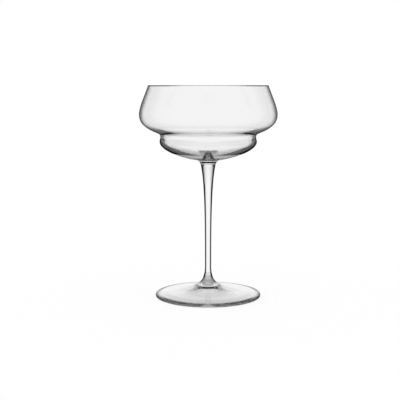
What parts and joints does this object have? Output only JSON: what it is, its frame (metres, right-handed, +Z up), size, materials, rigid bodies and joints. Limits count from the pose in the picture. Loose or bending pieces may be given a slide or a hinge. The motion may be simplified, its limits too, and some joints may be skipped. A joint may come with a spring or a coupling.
{
  "type": "stemmed cocktail glass",
  "caption": "Stemmed cocktail glass: a wide thin bowl that leans in to the rim, a ledge stepping in to a small thick cup, a slender stem and a low conical foot.",
  "frame": {"origin": "centre of the foot, on the plane that the glass rests on", "axes": "+Z up along the glass's axis of revolution; X and Y are free, because every piece is turned about that axis"},
  "size_m": [0.105, 0.105, 0.1622],
  "materials": {
    "clear_glass": "fire-polished clear glass"
  },
  "bodies": {
    "root": {"foot": "clear_glass", "stem": "clear_glass", "bowl": "clear_glass"}
  },
  "joints": []
}
